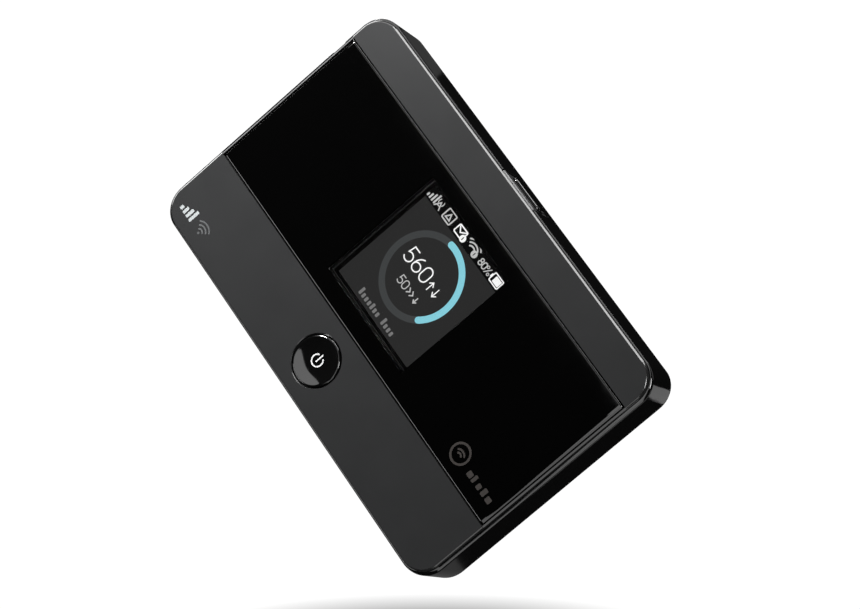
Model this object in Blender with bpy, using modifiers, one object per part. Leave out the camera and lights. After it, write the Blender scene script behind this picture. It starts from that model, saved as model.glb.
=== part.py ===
"""Mobile hotspot: a pocket wireless router with a screen, built as separate pieces.

Frame: metres, +Z up. The device lies on its back cover with the screen facing +Z.
The origin is the bottom centre of the device. +X runs along the long side, in the
reading direction of the screen, and +Y points to the side with the menu button.
"""

import math

import bmesh
import bpy
from mathutils import Matrix, Vector

MM = 0.001

# --- Driving dimensions, in millimetres ---------------------------------------------

LENGTH = 106.0            # along X
WIDTH = 66.0              # along Y
FACE_Z = 15.7             # front face
CORNER = 6.1              # outline corner radius at the rim
CLEARANCE = 0.3           # running gap between neighbouring pieces

# The walls lean inward from the rim to the back, the two ends more than the sides.
END_DRAFT = 0.9
SIDE_DRAFT = 0.2
DRAFT_TOP_Z = 14.0
DRAFT_FOOT_Z = 2.5

RIM_Z = 14.7              # top edge of the back cover's wall
WALL = 1.3                # back cover wall and floor
BACK_FILLET = 2.5

# Front cover: a stepped lid whose flange overhangs the back cover's rim.
FLANGE_HALF_X = 52.3
FLANGE_HALF_Y = 32.6
FLANGE_CORNER = 5.8
FLANGE_Z = 14.95
FACE_CHAMFER = 0.45
SKIRT_HALF_X = LENGTH / 2 - WALL - 0.4
SKIRT_HALF_Y = WIDTH / 2 - WALL - 0.4
SKIRT_Z = 12.2
SKIRT_WALL = 1.0

# Channel across the front for the glossy window.
WINDOW_HALF_X = 51.6
WINDOW_LOW_Y = -14.25
WINDOW_HIGH_Y = 23.75
WINDOW_THICK = 1.05
WINDOW_GAP = 0.15
CHANNEL_FLOOR_Z = 14.2
CHANNEL_UNDER_Z = 13.5
BAND_UNDER_Z = 14.2
END_LIP_Z = 15.25
END_LIP = 0.45

# Screen, centred in the window.
SCREEN_Y = 5.0
ACTIVE = 27.2             # side of the square lit area
SCREEN_OPENING = (29.4, 30.0)
BEZEL_TOP_Z = 13.1
BEZEL_SHEET = 0.25

# Main board and the frame that carries it.
BOARD_LOW_Z = 9.4
BOARD_TOP_Z = 10.4
BOARD_HALF_X = 49.2
BOARD_HALF_Y = 29.2
SEAT_GAP = 0.1            # between a soldered piece and the board
FRAME_LOW_Z = 1.9
FRAME_TOP_Z = 11.9
FRAME_HALF_X = SKIRT_HALF_X
FRAME_HALF_Y = SKIRT_HALF_Y
FRAME_DECK = 1.2
BAY_ROOF_LOW_Z = 7.6
BAY_ROOF_TOP_Z = 8.4

# Battery and its bay.
BAY_LOW_X = -17.5
BAY_HIGH_X = 45.5
BAY_HALF_Y = 23.5
BATTERY_GAP = 0.5
BATTERY_LOW_Z = 1.75
BATTERY_TOP_Z = 7.3
BATTERY_CAP_LENGTH = 3.0

# Power button, on the lower band of the front cover.
POWER_Y = -23.5
POWER_HOLE_R = 5.9
POWER_CAP_R = 5.6

# Menu button, on the +Y side wall.
MENU_HALF_X = 4.7
MENU_LOW_Z = 7.1
MENU_TOP_Z = 10.7
MENU_FACE_Y = 33.3
MENU_FLANGE_Y = (28.2, 28.85)
MENU_SURROUND_HALF_X = 5.55
MENU_SURROUND_Y = 32.6

# Micro-USB port, on the -X end.
USB_HALF_Y = 3.75
USB_LOW_Z = 6.75
USB_HIGH_Z = 9.3
USB_MOUTH_X = -51.0

RESET_XY = (-43.0, -19.0)

# Six screws go up through the frame and the board into the front cover.
SCREW_PLACES = [(x, y) for x in (-46.3, 46.3) for y in (-26.4, 26.4)]
SCREW_PLACES += [(-20.0, -27.0), (-20.0, 27.0)]
SCREW_SHANK_R = 0.75
SCREW_HEAD_R = 1.55
SCREW_SEAT_Z = 3.7

ROUND_STEPS = 40          # sides of a large turned piece
SMALL_STEPS = 16          # sides of a small turned piece


# --- Scene, collections and materials -----------------------------------------------

def clear_scene():
    for old in list(bpy.data.objects):
        bpy.data.objects.remove(old, do_unlink=True)


def make_collection(name):
    collection = bpy.data.collections.new(name)
    bpy.context.scene.collection.children.link(collection)
    return collection


def make_material(name, color, roughness, metallic=0.0, transmission=0.0, glow=0.0):
    material = bpy.data.materials.new(name)
    material.use_nodes = True
    shader = material.node_tree.nodes["Principled BSDF"]
    shader.inputs["Base Color"].default_value = (*color, 1.0)
    shader.inputs["Roughness"].default_value = roughness
    shader.inputs["Metallic"].default_value = metallic
    shader.inputs["Transmission Weight"].default_value = transmission
    if glow:
        shader.inputs["Emission Color"].default_value = (*color, 1.0)
        shader.inputs["Emission Strength"].default_value = glow
    return material


clear_scene()
PARTS = make_collection("mobile_hotspot")
CUTTERS = make_collection("cutters")

SATIN_GREY = make_material("satin_grey_plastic", (0.055, 0.055, 0.055), 0.55)
GLOSS_BLACK = make_material("gloss_black_plastic", (0.004, 0.004, 0.005), 0.12)
WINDOW_BLACK = make_material("window_acrylic", (0.003, 0.003, 0.004), 0.06)
FRAME_BLACK = make_material("frame_plastic", (0.02, 0.02, 0.022), 0.5)
STEEL = make_material("steel_sheet", (0.55, 0.55, 0.56), 0.3, metallic=1.0)
SCREW_STEEL = make_material("screw_steel", (0.3, 0.3, 0.31), 0.35, metallic=1.0)
GOLD = make_material("gold_plate", (0.83, 0.62, 0.25), 0.25, metallic=1.0)
BOARD_GREEN = make_material("board_laminate", (0.01, 0.07, 0.03), 0.4)
PLASTIC_BLACK = make_material("connector_plastic", (0.015, 0.015, 0.015), 0.45)
PLASTIC_WHITE = make_material("backlight_plastic", (0.75, 0.75, 0.73), 0.5)
RUBBER_BLACK = make_material("foam_gasket", (0.02, 0.02, 0.02), 0.9)
ADHESIVE = make_material("adhesive_film", (0.04, 0.04, 0.04), 0.8)
POLYIMIDE = make_material("polyimide_flex", (0.35, 0.13, 0.02), 0.4)
COPPER = make_material("antenna_copper", (0.72, 0.38, 0.22), 0.35, metallic=1.0)
SCREEN = make_material("screen_glass", (0.03, 0.03, 0.03), 0.15, glow=0.3)
BATTERY_WRAP = make_material("battery_wrap", (0.03, 0.03, 0.035), 0.45)


# --- Shape helpers (millimetres in, metres out) --------------------------------------

def place(name, mesh, material, collection=PARTS, origin=(0.0, 0.0, 0.0)):
    """Makes the object, with its origin at the given point and the mesh unmoved."""
    offset = Vector(origin) * MM
    mesh.transform(Matrix.Translation(-offset))
    if material is not None:
        mesh.materials.append(material)
    piece = bpy.data.objects.new(name, mesh)
    piece.location = offset
    collection.objects.link(piece)
    return piece


def mesh_from(bm, name):
    """Turns a bmesh drawn in millimetres into a mesh in metres."""
    bmesh.ops.recalc_face_normals(bm, faces=bm.faces)
    bm.transform(Matrix.Scale(MM, 4))
    mesh = bpy.data.meshes.new(name)
    bm.to_mesh(mesh)
    bm.free()
    return mesh


def box_bmesh(low, high):
    bm = bmesh.new()
    bmesh.ops.create_cube(bm, size=1.0)
    size = Vector(high) - Vector(low)
    centre = (Vector(high) + Vector(low)) / 2
    bmesh.ops.scale(bm, vec=size, verts=bm.verts)
    bmesh.ops.translate(bm, vec=centre, verts=bm.verts)
    return bm


def round_edges(bm, chosen, radius, segments):
    """Rounds the edges for which chosen(edge) is true."""
    edges = [edge for edge in bm.edges if chosen(edge)]
    bmesh.ops.bevel(bm, geom=edges, offset=radius, segments=segments,
                    profile=0.5, affect="EDGES", clamp_overlap=True)


def runs_along(axis):
    """Returns a test for edges that run along X (0), Y (1) or Z (2)."""
    def test(edge):
        run = (edge.verts[1].co - edge.verts[0].co).normalized()
        return abs(run[axis]) > 0.999
    return test


def rim_at(z):
    """Returns a test for the edges round a flat face at the given height."""
    def test(edge):
        level = all(abs(vert.co.z - z) < 1e-4 for vert in edge.verts)
        return level and any(abs(face.normal.z) < 0.5 for face in edge.link_faces)
    return test


def lean_in(bm, half_x, half_y, corner):
    """Gives vertical walls the draft of the moulded tray.

    The middles of the round corners stay put, so a corner gets tighter towards the foot.
    """
    height = DRAFT_TOP_Z - DRAFT_FOOT_Z
    for vert in bm.verts:
        depth = min(max(DRAFT_TOP_Z - vert.co.z, 0.0), height) / height
        out_x = min(max(abs(vert.co.x) - half_x + corner, 0.0) / corner, 1.0)
        out_y = min(max(abs(vert.co.y) - half_y + corner, 0.0) / corner, 1.0)
        vert.co.x -= math.copysign(END_DRAFT * depth * out_x, vert.co.x)
        vert.co.y -= math.copysign(SIDE_DRAFT * depth * out_y, vert.co.y)


def box(name, low, high, material, collection=PARTS, corner=0.0, axis=2, origin=(0, 0, 0)):
    """A box whose four edges along one axis may be rounded."""
    bm = box_bmesh(low, high)
    if corner:
        round_edges(bm, runs_along(axis), corner, 3)
    return place(name, mesh_from(bm, name), material, collection, origin)


def tray_block(name, half_x, half_y, low_z, high_z, corner, material,
               foot_fillet=0.0, top_bevel=0.0, top_segments=2, draft=True, collection=PARTS):
    """A solid with the device's rounded outline, drafted walls and rounded rims."""
    bm = box_bmesh((-half_x, -half_y, low_z), (half_x, half_y, high_z))
    round_edges(bm, runs_along(2), corner, 7)
    if foot_fillet:
        round_edges(bm, rim_at(low_z), foot_fillet, 4)
    if top_bevel:
        round_edges(bm, rim_at(high_z), top_bevel, top_segments)
    if draft:
        lean_in(bm, half_x, half_y, corner)
    return place(name, mesh_from(bm, name), material, collection)


def rod(name, radius, low_z, high_z, xy, material, steps=SMALL_STEPS, collection=PARTS):
    """An upright round bar."""
    bm = bmesh.new()
    bmesh.ops.create_cone(bm, cap_ends=True, segments=steps, radius1=radius,
                          radius2=radius, depth=high_z - low_z)
    middle = Vector((xy[0], xy[1], (low_z + high_z) / 2))
    bmesh.ops.translate(bm, vec=middle, verts=bm.verts)
    return place(name, mesh_from(bm, name), material, collection)


def turned(name, profile, xy, material, steps):
    """A turned piece: profile points (radius, z) run from the top down the outside."""
    bm = bmesh.new()
    verts = [bm.verts.new((radius * MM, 0.0, z * MM)) for radius, z in profile]
    for first, second in zip(verts, verts[1:]):
        bm.edges.new((first, second))
    mesh = bpy.data.meshes.new(name)
    bm.to_mesh(mesh)
    bm.free()
    mesh.materials.append(material)
    piece = bpy.data.objects.new(name, mesh)
    piece.location = (xy[0] * MM, xy[1] * MM, 0.0)
    PARTS.objects.link(piece)
    screw = piece.modifiers.new("turn", "SCREW")
    screw.axis = "Z"
    screw.steps = steps
    screw.render_steps = steps
    screw.use_merge_vertices = True
    screw.merge_threshold = 0.00001
    return piece


def boolean(target, tool, operation):
    modifier = target.modifiers.new(tool.name, "BOOLEAN")
    modifier.operation = operation
    modifier.solver = "EXACT"
    modifier.object = tool
    tool.hide_render = True
    tool.display_type = "WIRE"


def cut(target, *tools):
    for tool in tools:
        boolean(target, tool, "DIFFERENCE")


def join(target, *tools):
    for tool in tools:
        boolean(target, tool, "UNION")


def cutter(name, low, high, corner=0.0, axis=2):
    return box(name, low, high, None, CUTTERS, corner, axis)


def shade(piece):
    """Smooth shading on rounded stretches, crisp at real edges."""
    piece.data.shade_smooth()
    piece.data.set_sharp_from_angle(angle=math.radians(35))


# --- Casing --------------------------------------------------------------------------

def build_back_cover():
    half_x, half_y = LENGTH / 2, WIDTH / 2
    cover = tray_block("back_cover", half_x, half_y, 0.0, RIM_Z, CORNER, GLOSS_BLACK,
                       foot_fillet=BACK_FILLET, top_bevel=0.4)
    hollow = tray_block("cover_hollow", half_x - WALL, half_y - WALL, WALL, RIM_Z + 0.3,
                        CORNER - WALL, None, foot_fillet=1.3, collection=CUTTERS)
    menu_gap = MENU_SURROUND_HALF_X + 0.35
    menu_notch = cutter("cover_menu_notch", (-menu_gap, half_y - 4, 5.6),
                        (menu_gap, half_y + 2, RIM_Z + 4), corner=1.2, axis=1)
    usb_hole = cutter("cover_usb_hole", (-half_x - 2, -4.6, 6.0), (-half_x + 4, 4.6, 10.0),
                      corner=1.1, axis=0)
    nail_notch = rod("cover_nail_notch", 5.0, RIM_Z - 0.7, RIM_Z + 2, (-half_x - 4.4, 20.0),
                     None, steps=24, collection=CUTTERS)
    cut(cover, hollow, menu_notch, usb_hole, nail_notch)
    return cover


def build_front_cover():
    cover = tray_block("front_cover", FLANGE_HALF_X, FLANGE_HALF_Y, FLANGE_Z, FACE_Z,
                       FLANGE_CORNER, SATIN_GREY, top_bevel=FACE_CHAMFER, top_segments=2,
                       draft=False)
    skirt = tray_block("cover_skirt", SKIRT_HALF_X, SKIRT_HALF_Y, SKIRT_Z, FLANGE_Z + 0.2,
                       5.0, None, draft=False, collection=CUTTERS)
    join(cover, skirt)

    inner_x, inner_y = SKIRT_HALF_X - SKIRT_WALL, SKIRT_HALF_Y - SKIRT_WALL
    hollow = tray_block("skirt_hollow", inner_x, inner_y, SKIRT_Z - 2, CHANNEL_UNDER_Z,
                        4.0, None, draft=False, collection=CUTTERS)
    low_band = cutter("low_band_hollow", (-inner_x + 1, -inner_y + 0.2, SKIRT_Z),
                      (inner_x - 1, WINDOW_LOW_Y - 1.2, BAND_UNDER_Z), corner=3.0)
    high_band = cutter("high_band_hollow", (-inner_x + 1, WINDOW_HIGH_Y + 1.2, SKIRT_Z),
                       (inner_x - 1, inner_y - 0.2, BAND_UNDER_Z), corner=2.0)
    cut(cover, hollow, low_band, high_band)

    channel_low = WINDOW_LOW_Y - WINDOW_GAP
    channel_high = WINDOW_HIGH_Y + WINDOW_GAP
    end_x = FLANGE_HALF_X - END_LIP
    channel = cutter("window_channel", (-end_x, channel_low, CHANNEL_FLOOR_Z),
                     (end_x, channel_high, FACE_Z + 2))
    end_relief = cutter("window_end_relief", (-FLANGE_HALF_X - 2, channel_low, END_LIP_Z),
                        (FLANGE_HALF_X + 2, channel_high, FACE_Z + 3))
    wide, tall = SCREEN_OPENING
    opening = cutter("screen_opening", (-wide / 2, SCREEN_Y - tall / 2, SKIRT_Z),
                     (wide / 2, SCREEN_Y + tall / 2, FACE_Z), corner=0.6)
    power_hole = rod("power_hole", POWER_HOLE_R, SKIRT_Z, FACE_Z + 2, (0, POWER_Y), None,
                     steps=ROUND_STEPS, collection=CUTTERS)
    cut(cover, channel, end_relief, opening, power_hole)

    for number, xy in enumerate(SCREW_PLACES, start=1):
        boss = rod(f"cover_boss_{number}", 2.2, BOARD_TOP_Z + 0.25, CHANNEL_UNDER_Z + 0.8, xy,
                   None, collection=CUTTERS)
        pilot = rod(f"cover_pilot_{number}", SCREW_SHANK_R + CLEARANCE, BOARD_TOP_Z - 1, 12.7,
                    xy, None, collection=CUTTERS)
        join(cover, boss)
        cut(cover, pilot)
    return cover


def build_front_window():
    """The glossy strip: rolled over at its two ends, finely bevelled along its sides."""
    bm = box_bmesh((-WINDOW_HALF_X, WINDOW_LOW_Y, FACE_Z - WINDOW_THICK),
                   (WINDOW_HALF_X, WINDOW_HIGH_Y, FACE_Z))

    def top_edge(axis):
        along = runs_along(axis)
        return lambda edge: along(edge) and min(v.co.z for v in edge.verts) > FACE_Z - 1e-4

    def side_edge(edge):
        first, second = (vert.co for vert in edge.verts)
        above_foot = first.z > FACE_Z - WINDOW_THICK + 0.1
        level = abs(first.y - second.y) < 1e-4
        return above_foot and level and edge.calc_face_angle(0.0) > math.radians(60)

    round_edges(bm, top_edge(1), 0.8, 4)
    round_edges(bm, side_edge, 0.3, 2)
    return place("front_window", mesh_from(bm, "front_window"), WINDOW_BLACK)


def build_window_adhesive():
    low_z, high_z = CHANNEL_FLOOR_Z + 0.1, FACE_Z - WINDOW_THICK - 0.1
    film = box("window_adhesive", (-50.6, WINDOW_LOW_Y + 0.8, low_z),
               (50.6, WINDOW_HIGH_Y - 0.8, high_z), ADHESIVE, corner=0.8)
    wide, tall = SCREEN_OPENING
    opening = cutter("adhesive_opening", (-wide / 2, SCREEN_Y - tall / 2, low_z - 1),
                     (wide / 2, SCREEN_Y + tall / 2, high_z + 1), corner=0.6)
    cut(film, opening)
    return film


# --- Frame ---------------------------------------------------------------------------

def menu_surround_tab():
    """The upper tab of the menu surround, flaring out to the rim above the button."""
    inner_y = SKIRT_HALF_Y + CLEARANCE
    half_x = MENU_SURROUND_HALF_X
    bm = box_bmesh((-half_x, inner_y, FRAME_TOP_Z - 0.6), (half_x, WIDTH / 2 - 0.1, RIM_Z - 0.1))
    for vert in bm.verts:
        if vert.co.y > inner_y + 0.1 and vert.co.z < FRAME_TOP_Z:
            vert.co.y = MENU_SURROUND_Y
    return place("menu_tab", mesh_from(bm, "menu_tab"), None, CUTTERS)


def build_mid_frame():
    frame = tray_block("mid_frame", FRAME_HALF_X, FRAME_HALF_Y, FRAME_LOW_Z, FRAME_TOP_Z, 6.0,
                       FRAME_BLACK, foot_fillet=0.8)
    upper = tray_block("frame_upper_hollow", FRAME_HALF_X - 1.3, FRAME_HALF_Y - 1.3,
                       BAY_ROOF_TOP_Z, FRAME_TOP_Z + 3, 4.7, None, collection=CUTTERS)
    cut(frame, upper)

    # Deep pockets around the battery bay, above the deck.
    deck_z = FRAME_LOW_Z + FRAME_DECK
    bay_wall = 1.2
    inner_x, inner_y = 49.1, 29.1
    over = BAY_ROOF_TOP_Z + 1
    left = cutter("pocket_left", (-inner_x, -inner_y, deck_z),
                  (BAY_LOW_X - bay_wall, inner_y, over), corner=3.5)
    right = cutter("pocket_right", (BAY_HIGH_X + bay_wall, -inner_y, deck_z),
                   (inner_x, inner_y, over), corner=1.1)
    strip_x = (BAY_LOW_X - bay_wall - 3, BAY_HIGH_X + bay_wall + 1.2)
    strip_y = BAY_HALF_Y + bay_wall
    front = cutter("pocket_low_side", (strip_x[0], -inner_y, deck_z),
                   (strip_x[1], -strip_y, over))
    rear = cutter("pocket_high_side", (strip_x[0], strip_y, deck_z),
                  (strip_x[1], inner_y, over))
    bay = cutter("battery_bay", (BAY_LOW_X, -BAY_HALF_Y, FRAME_LOW_Z - 3),
                 (BAY_HIGH_X, BAY_HALF_Y, BAY_ROOF_LOW_Z), corner=1.0)
    cut(frame, left, right, front, rear, bay)

    # Windows in the bay's roof show the card sockets, with room to slide a card in.
    sim_window = cutter("sim_window", (-8.4, 3.2, BAY_ROOF_LOW_Z - 2), (24.0, 17.4, over),
                        corner=1.0)
    memory_window = cutter("memory_window", (-8.4, -18.6, BAY_ROOF_LOW_Z - 2),
                           (22.0, -3.8, over), corner=1.0)
    connector_gap = cutter("connector_gap", (BAY_LOW_X - bay_wall - 1, -4.9, 4.2),
                           (BAY_LOW_X + 0.4, 4.9, over))
    usb_gap = cutter("frame_usb_gap", (-56.0, -USB_HALF_Y - 0.45, USB_LOW_Z - 0.4),
                     (-48.0, USB_HALF_Y + 0.45, FRAME_TOP_Z + 3))
    reset_hole = rod("reset_hole", 1.2, FRAME_LOW_Z - 1, deck_z + 1, RESET_XY, None,
                     collection=CUTTERS)
    cut(frame, sim_window, memory_window, connector_gap, usb_gap, reset_hole)

    for number, xy in enumerate(SCREW_PLACES, start=1):
        post = rod(f"frame_post_{number}", 2.4, FRAME_LOW_Z + 0.5, BOARD_LOW_Z - 0.25, xy, None,
                   collection=CUTTERS)
        head_room = rod(f"frame_counterbore_{number}", SCREW_HEAD_R + 0.35, FRAME_LOW_Z - 1,
                        SCREW_SEAT_Z, xy, None, collection=CUTTERS)
        hole = rod(f"frame_hole_{number}", SCREW_SHANK_R + CLEARANCE, SCREW_SEAT_Z - 0.5,
                   BOARD_LOW_Z + 1, xy, None, collection=CUTTERS)
        join(frame, post)
        cut(frame, head_room, hole)

    surround = box("menu_surround", (-MENU_SURROUND_HALF_X, 29.8, 5.95),
                   (MENU_SURROUND_HALF_X, MENU_SURROUND_Y, FRAME_TOP_Z - 0.01), None, CUTTERS)
    join(frame, surround, menu_surround_tab())
    hole_x = MENU_HALF_X + CLEARANCE
    button_hole = cutter("menu_button_hole", (-hole_x, 28.0, MENU_LOW_Z - CLEARANCE),
                         (hole_x, 36.0, MENU_TOP_Z + CLEARANCE), corner=1.3, axis=1)
    cut(frame, button_hole)
    return frame


# --- Buttons and their switches --------------------------------------------------------

def build_power_button():
    """A round cap with a shallow dish, a retaining flange and a stem to the switch."""
    rim_z = FACE_Z + 0.12
    dish = [(0.0, rim_z - 0.30), (2.6, rim_z - 0.24), (4.4, rim_z - 0.12), (5.2, rim_z)]
    side = [(POWER_CAP_R, rim_z - 0.3), (POWER_CAP_R, 13.95), (6.35, 13.95), (6.35, 13.4)]
    stem = [(1.6, 13.4), (1.6, 12.75), (0.0, 12.75)]
    turned("power_button", dish + side + stem, (0, POWER_Y), GLOSS_BLACK, ROUND_STEPS)

    switch = box("power_switch", (-2.6, POWER_Y - 2.6, BOARD_TOP_Z + SEAT_GAP),
                 (2.6, POWER_Y + 2.6, 11.95), STEEL)
    bore = rod("power_switch_bore", 1.45, 11.0, 14.0, (0, POWER_Y), None, collection=CUTTERS)
    cut(switch, bore)
    rod("power_switch_plunger", 1.15, 11.45, 12.6, (0, POWER_Y), PLASTIC_WHITE)


def build_menu_button():
    """An oblong key in the +Y wall, with a flange behind the wall and its side switch."""
    middle = (0.0, MENU_FACE_Y, (MENU_LOW_Z + MENU_TOP_Z) / 2)
    flange_low, flange_high = MENU_FLANGE_Y
    bm = box_bmesh((-MENU_HALF_X, flange_high - 0.2, MENU_LOW_Z),
                   (MENU_HALF_X, MENU_FACE_Y, MENU_TOP_Z))
    round_edges(bm, runs_along(1), 1.1, 3)
    round_edges(bm, lambda edge: all(v.co.y > MENU_FACE_Y - 1e-4 for v in edge.verts), 0.5, 2)
    key = place("menu_button", mesh_from(bm, "menu_button"), GLOSS_BLACK, origin=middle)
    flange = box("menu_flange", (-5.6, flange_low, MENU_LOW_Z - 0.6),
                 (5.6, flange_high, MENU_TOP_Z + 0.5), None, CUTTERS)
    stem = box("menu_stem", (-1.6, flange_low - 0.3, 7.7), (1.6, flange_low + 0.2, 9.0),
               None, CUTTERS)
    join(key, flange, stem)

    switch = box("menu_switch", (-3.5, 24.7, 7.35), (3.5, 27.2, BOARD_LOW_Z - SEAT_GAP), STEEL)
    bore = cutter("menu_switch_bore", (-1.65, 26.1, 7.55), (1.65, 30.0, 9.15))
    cut(switch, bore)
    box("menu_switch_plunger", (-1.3, 26.6, 7.8), (1.3, 27.75, 8.9), PLASTIC_WHITE)


def build_reset_button():
    """A pin behind the back cover, pressed from below with a pointed tool."""
    profile = [(0.0, 8.5), (0.6, 8.5), (0.6, 4.0), (1.7, 4.0), (1.7, 3.4), (0.85, 3.4),
               (0.85, 2.2), (0.0, 2.2)]
    turned("reset_button", profile, RESET_XY, PLASTIC_WHITE, SMALL_STEPS)
    x, y = RESET_XY
    switch = box("reset_switch", (x - 1.7, y - 1.7, 8.1),
                 (x + 1.7, y + 1.7, BOARD_LOW_Z - SEAT_GAP), STEEL)
    bore = rod("reset_switch_bore", 0.95, 7.0, 8.9, RESET_XY, None, collection=CUTTERS)
    cut(switch, bore)


# --- Screen ----------------------------------------------------------------------------

def build_screen():
    """A square screen stack under the window; its board edge reaches towards -Y."""
    half_x, low_y, high_y = 15.4, SCREEN_Y - 18.0, SCREEN_Y + 15.4
    low_z = 11.0
    bezel = box("display_bezel", (-half_x, low_y, low_z), (half_x, high_y, BEZEL_TOP_Z), STEEL)
    sheet = BEZEL_SHEET
    inside = cutter("bezel_inside", (-half_x + sheet, low_y + sheet, low_z - 1),
                    (half_x - sheet, high_y - sheet, BEZEL_TOP_Z - sheet))
    view = ACTIVE / 2 + 0.3
    window = cutter("bezel_window", (-view, SCREEN_Y - view, low_z),
                    (view, SCREEN_Y + view, BEZEL_TOP_Z + 1))
    cut(bezel, inside, window)

    inner = sheet + 0.15
    box("display_panel", (-half_x + inner, low_y + inner, 11.85),
        (half_x - inner, high_y - inner, BEZEL_TOP_Z - inner), SCREEN)
    box("display_backlight", (-half_x + inner, low_y + inner, low_z),
        (half_x - inner, high_y - inner, 11.7), PLASTIC_WHITE)

    gasket = box("display_gasket", (-half_x, low_y, BEZEL_TOP_Z + 0.08),
                 (half_x, high_y, CHANNEL_UNDER_Z - 0.08), RUBBER_BLACK)
    wide, tall = SCREEN_OPENING
    gasket_opening = cutter("gasket_opening", (-wide / 2 + 0.1, SCREEN_Y - tall / 2 + 0.1, 12.0),
                            (wide / 2 - 0.1, SCREEN_Y + tall / 2 - 0.1, 14.0))
    cut(gasket, gasket_opening)
    build_screen_flex()
    box("display_connector", (-6.8, -18.4, BOARD_TOP_Z + SEAT_GAP), (6.8, -16.2, 11.5),
        PLASTIC_WHITE)


def build_screen_flex():
    """The ribbon from under the screen to its board connector, in one gentle S bend."""
    start_y, end_y, half_x, rise = -9.0, -15.9, 6.0, 0.25
    stations = 9
    bm = bmesh.new()
    edge = []
    for step in range(stations):
        part = step / (stations - 1)
        y = start_y + (end_y - start_y) * part
        z = BOARD_TOP_Z + 0.2 + rise * (1 - math.cos(math.pi * part)) / 2
        edge.append((bm.verts.new((-half_x, y, z)), bm.verts.new((half_x, y, z))))
    for (a, b), (c, d) in zip(edge, edge[1:]):
        bm.faces.new((a, b, d, c))
    mesh = mesh_from(bm, "display_flex")
    ribbon = place("display_flex", mesh, POLYIMIDE)
    thickness = ribbon.modifiers.new("thickness", "SOLIDIFY")
    thickness.thickness = 0.15 * MM
    thickness.offset = 0.0


# --- Board and what is on it --------------------------------------------------------------

def build_board():
    board = box("main_board", (-BOARD_HALF_X, -BOARD_HALF_Y, BOARD_LOW_Z),
                (BOARD_HALF_X, BOARD_HALF_Y, BOARD_TOP_Z), BOARD_GREEN, corner=4.2)
    menu_notch = cutter("board_menu_notch", (-6.6, 27.7, BOARD_LOW_Z - 1),
                        (6.6, BOARD_HALF_Y + 1, BOARD_TOP_Z + 1), corner=0.6)
    cut(board, menu_notch)
    for number, xy in enumerate(SCREW_PLACES, start=1):
        hole = rod(f"board_hole_{number}", 1.2, BOARD_LOW_Z - 1, BOARD_TOP_Z + 1, xy, None,
                   collection=CUTTERS)
        cut(board, hole)


def shield_can(name, low_xy, high_xy):
    """A folded sheet lid, open underneath, over a group of chips."""
    low_z = BOARD_TOP_Z + SEAT_GAP
    high_z = low_z + 1.7
    sheet = 0.3
    can = box(name, (*low_xy, low_z), (*high_xy, high_z), STEEL, corner=0.8)
    hollow = cutter(name + "_hollow", (low_xy[0] + sheet, low_xy[1] + sheet, low_z - 1),
                    (high_xy[0] - sheet, high_xy[1] - sheet, high_z - sheet), corner=0.5)
    cut(can, hollow)


def card_socket(name, low_xy, high_xy, card_width):
    """A flat metal socket under the board, with a card slot facing +X."""
    low_z, high_z = 7.85, BOARD_LOW_Z - SEAT_GAP
    middle_y = (low_xy[1] + high_xy[1]) / 2
    socket = box(name, (*low_xy, low_z), (*high_xy, high_z), STEEL)
    slot = cutter(name + "_slot", (low_xy[0] + 1.4, middle_y - card_width / 2, low_z + 0.3),
                  (high_xy[0] + 2, middle_y + card_width / 2, low_z + 1.15))
    cut(socket, slot)


def build_usb_port():
    """The micro-USB socket: a steel shell with a contact tongue, mouth towards -X."""
    low_z, high_z = USB_LOW_Z, USB_HIGH_Z
    back_x = USB_MOUTH_X + 5.0
    shell = box("micro_usb_shell", (USB_MOUTH_X, -USB_HALF_Y, low_z), (back_x, USB_HALF_Y, high_z),
                STEEL, corner=0.6, axis=0)
    mouth = cutter("micro_usb_mouth", (USB_MOUTH_X - 1, -USB_HALF_Y + 0.3, low_z + 0.3),
                   (back_x - 0.6, USB_HALF_Y - 0.3, high_z - 0.3), corner=0.5, axis=0)
    cut(shell, mouth)
    box("micro_usb_tongue", (USB_MOUTH_X + 0.8, -2.1, 8.0), (back_x - 0.9, 2.1, 8.5),
        PLASTIC_BLACK)


def build_battery_contacts():
    """The block that meets the battery's end, with three sprung blades."""
    face_x = BAY_LOW_X - 0.3
    box("battery_connector", (face_x - 4.2, -4.5, 4.6), (face_x, 4.5, BOARD_LOW_Z - SEAT_GAP),
        PLASTIC_BLACK)
    for number, y in enumerate((-2.6, 0.0, 2.6), start=1):
        bm = box_bmesh((face_x + 0.1, y - 0.5, 5.0), (face_x + 0.6, y + 0.5, 6.8))
        front = face_x + 0.6

        def nose(edge):
            return runs_along(1)(edge) and all(v.co.x > front - 1e-4 for v in edge.verts)

        round_edges(bm, nose, 0.35, 2)
        name = f"battery_contact_{number}"
        place(name, mesh_from(bm, name), GOLD)


def antenna(name, low, high, slot_axis, slots):
    """A thin radiator plate, meandered by slots cut in from alternate long edges."""
    plate = box(name, low, high, COPPER)
    length = high[slot_axis] - low[slot_axis]
    for number in range(slots):
        at = low[slot_axis] + length * (number + 1) / (slots + 1)
        slot_low, slot_high = list(low), list(high)
        thin_axis = 1 - slot_axis
        slot_low[thin_axis] -= 1
        slot_high[thin_axis] += 1
        slot_low[slot_axis], slot_high[slot_axis] = at - 0.5, at + 0.5
        if number % 2:
            slot_high[2] -= 1.2
            slot_low[2] -= 1
        else:
            slot_low[2] += 1.2
            slot_high[2] += 1
        cut(plate, cutter(f"{name}_slot_{number + 1}", slot_low, slot_high))


def build_antennas():
    antenna("lte_antenna_main", (-14.0, -28.5, 3.6), (40.0, -28.2, 8.8), 0, 6)
    antenna("lte_antenna_diversity", (-48.5, 6.5, 3.6), (-48.2, 22.5, 8.8), 1, 3)
    antenna("wifi_antenna", (48.1, -20.0, 3.6), (48.4, 8.0, 8.0), 1, 3)


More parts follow.
